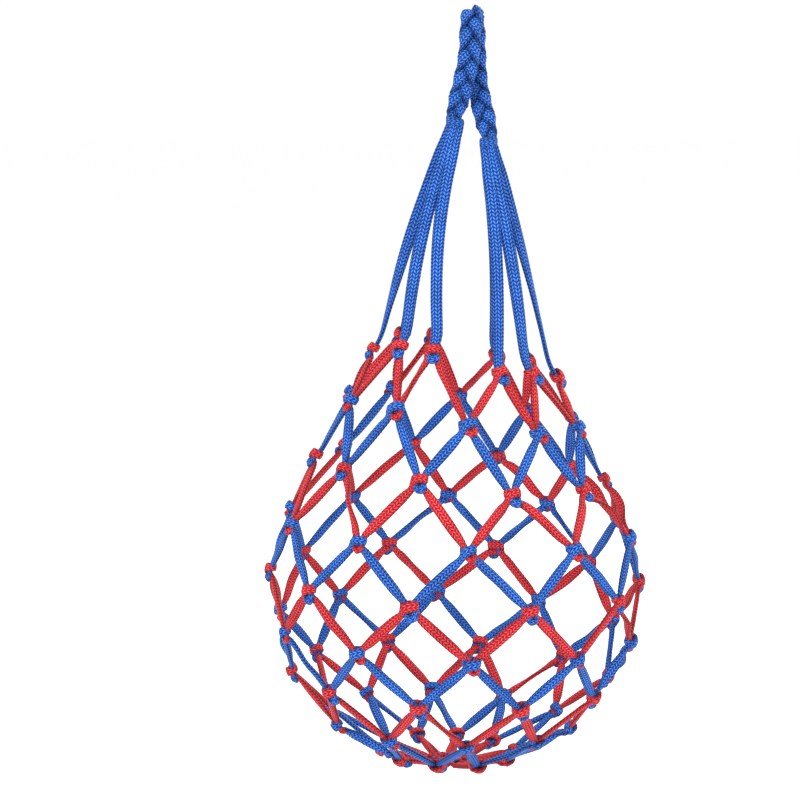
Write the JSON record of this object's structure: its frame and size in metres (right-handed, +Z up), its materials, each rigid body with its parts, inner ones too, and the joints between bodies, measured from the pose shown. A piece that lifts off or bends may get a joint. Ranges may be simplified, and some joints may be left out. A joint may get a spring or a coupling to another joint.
{
  "type": "mesh ball bag",
  "caption": "Knotted net bag of flat braided cord for carrying a ball, with a plaited handle loop, gathered straps and net rows in two alternating colours.",
  "frame": {"origin": "the inside top of the handle's loop, where a hook or a hand holds the bag", "axes": "+Z up along the hanging bag, +X to its right and +Y to its back, as seen from the front"},
  "size_m": [0.2558, 0.2498, 0.5071],
  "materials": {
    "red_cord": "flat braided polypropylene cord, soft sheen",
    "blue_cord": "flat braided polypropylene cord, soft sheen",
    "strap_cord": "flat braided polypropylene cord, herringbone stitches",
    "plaited_cord": "flat braided polypropylene cord, plaited",
    "whipping_cord": "flat braided polypropylene cord, bound tight"
  },
  "bodies": {
    "handle": {"handle_plait_strand_1": "plaited_cord", "handle_plait_strand_2": "plaited_cord", "handle_plait_strand_3": "plaited_cord"},
    "whippings": {"left_whipping": "whipping_cord", "right_whipping": "whipping_cord"},
    "bag": {"left_strap_1": "strap_cord", "left_strap_2": "strap_cord", "left_strap_3": "strap_cord", "left_strap_4": "strap_cord", "left_strap_5": "strap_cord", "right_strap_1": "strap_cord", "right_strap_2": "strap_cord", "right_strap_3": "strap_cord", "right_strap_4": "strap_cord", "right_strap_5": "strap_cord", "net_row_1_red": "red_cord", "net_row_2_blue": "blue_cord", "net_row_3_red": "red_cord", "net_row_4_blue": "blue_cord", "net_row_5_red": "red_cord", "net_row_6_blue": "blue_cord", "net_row_7_red": "red_cord", "net_row_8_blue": "blue_cord", "net_row_9_red": "red_cord", "base_ring": "blue_cord"}
  },
  "joints": [
    {"name": "bag_swing", "type": "hinge", "parent": "handle", "child": "whippings", "pos_m": [-0.0103, 0, -0.0626], "axis": [0.8555, 0, -0.5179], "range_deg": [-60, 60]},
    {"name": "bag_twist", "type": "hinge", "parent": "whippings", "child": "bag", "pos_m": [-0.0096, 0, -0.072], "axis": [0, 0, 1], "range_deg": [-90, 90]}
  ]
}
